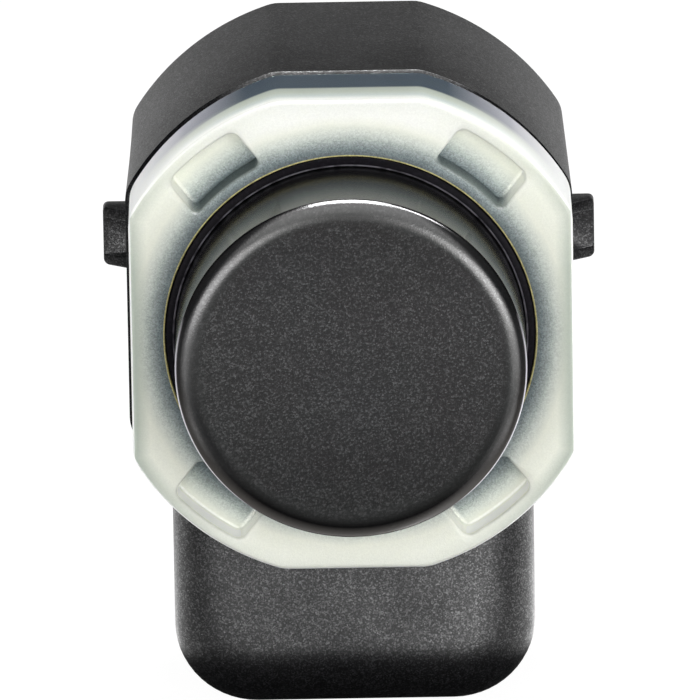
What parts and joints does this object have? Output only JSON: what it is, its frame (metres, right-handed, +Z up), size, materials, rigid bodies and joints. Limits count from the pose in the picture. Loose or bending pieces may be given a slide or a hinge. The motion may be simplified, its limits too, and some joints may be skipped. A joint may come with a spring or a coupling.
{
  "type": "parking sensor",
  "caption": "Ultrasonic parking sensor with a dark round cup in a clear soft ring, on a black moulded housing with side locking lugs and a rear-facing socket.",
  "frame": {"origin": "centre of the bounding box in plan, on the flat foot of the socket box", "axes": "+X across the sensor from lug to lug, -Y the way that the cup faces, +Z up from the socket box to the cup"},
  "size_m": [0.0224, 0.0304, 0.0301],
  "materials": {
    "housing_plastic": "black glass-filled nylon with a fine matte grain",
    "clear_silicone": "milky translucent silicone, satin",
    "painted_aluminium": "matte charcoal paint with a fine grain over aluminium",
    "black_silicone": "black silicone, slightly glossy",
    "piezo_ceramic": "pressed ceramic with a fired silver face",
    "grey_foam": "grey cast foam",
    "carrier_plastic": "dark moulded plastic",
    "tinned_brass": "tin plated, satin",
    "copper_wire": "enamelled copper",
    "board_laminate": "green solder resist over glass laminate",
    "moulded_epoxy": "black moulded epoxy",
    "ceramic_part": "fired ceramic chip part",
    "ferrite": "sintered ferrite, dull dark grey",
    "potting_resin": "dark cast resin"
  },
  "bodies": {
    "root": {"housing": "housing_plastic", "rear_cover": "housing_plastic", "decoupling_ring": "clear_silicone", "cup_sleeve": "black_silicone", "membrane_cup": "painted_aluminium", "piezo_disc": "piezo_ceramic", "damping_foam": "grey_foam", "contact_carrier": "carrier_plastic", "carrier_contact_left": "tinned_brass", "carrier_contact_right": "tinned_brass", "lead_wire_left": "copper_wire", "lead_wire_right": "copper_wire", "circuit_board": "board_laminate", "sensor_chip": "moulded_epoxy", "clock_resonator": "ceramic_part", "tank_capacitor": "ceramic_part", "filter_capacitor_1": "ceramic_part", "filter_capacitor_2": "ceramic_part", "bias_resistor_1": "ceramic_part", "bias_resistor_2": "ceramic_part", "protection_diode": "moulded_epoxy", "transformer_core": "ferrite", "transformer_coil": "copper_wire", "potting": "potting_resin", "contact_pin_1": "tinned_brass", "contact_pin_2": "tinned_brass", "contact_pin_3": "tinned_brass"}
  },
  "joints": []
}
